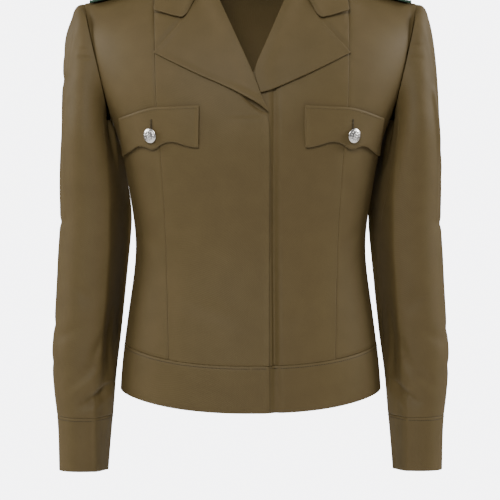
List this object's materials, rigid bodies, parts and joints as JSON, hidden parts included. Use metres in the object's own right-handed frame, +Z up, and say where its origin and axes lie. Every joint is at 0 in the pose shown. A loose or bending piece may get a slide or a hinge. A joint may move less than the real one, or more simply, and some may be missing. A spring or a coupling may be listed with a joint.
{
  "type": "uniform blouse",
  "caption": "Hollow worn uniform blouse to the waist, with lapels, lapped front, two flapped pockets, waistband and cuffed sleeves.",
  "frame": {"origin": "middle of the neck, level with the side neck points, where the wearer's shoulders hold the garment", "axes": "+X to the wearer's left, +Y to the wearer's back, +Z up"},
  "size_m": [0.506, 0.2398, 0.653],
  "materials": {
    "gabardine": "fine olive-brown twill with a soft sheen",
    "button_metal": "silver-coloured domed button with a plain raised wreath",
    "strap_green": "plain green shoulder strap cloth"
  },
  "bodies": {
    "root": {"front_right": "gabardine", "front_left": "gabardine", "side_front_right": "gabardine", "side_front_left": "gabardine", "side_back_right": "gabardine", "side_back_left": "gabardine", "back": "gabardine", "waistband_front_right": "gabardine", "waistband_front_left": "gabardine", "waistband_back": "gabardine", "sleeve_upper_right": "gabardine", "sleeve_upper_left": "gabardine", "sleeve_under_right": "gabardine", "sleeve_under_left": "gabardine", "cuff_right": "gabardine", "cuff_left": "gabardine", "lapel_right": "gabardine", "lapel_left": "gabardine", "collar": "gabardine", "collar_stand": "gabardine", "pocket_flap_right": "gabardine", "pocket_flap_left": "gabardine", "flap_button_right": "button_metal", "flap_button_left": "button_metal", "shoulder_strap_right": "strap_green", "shoulder_strap_left": "strap_green"}
  },
  "joints": []
}
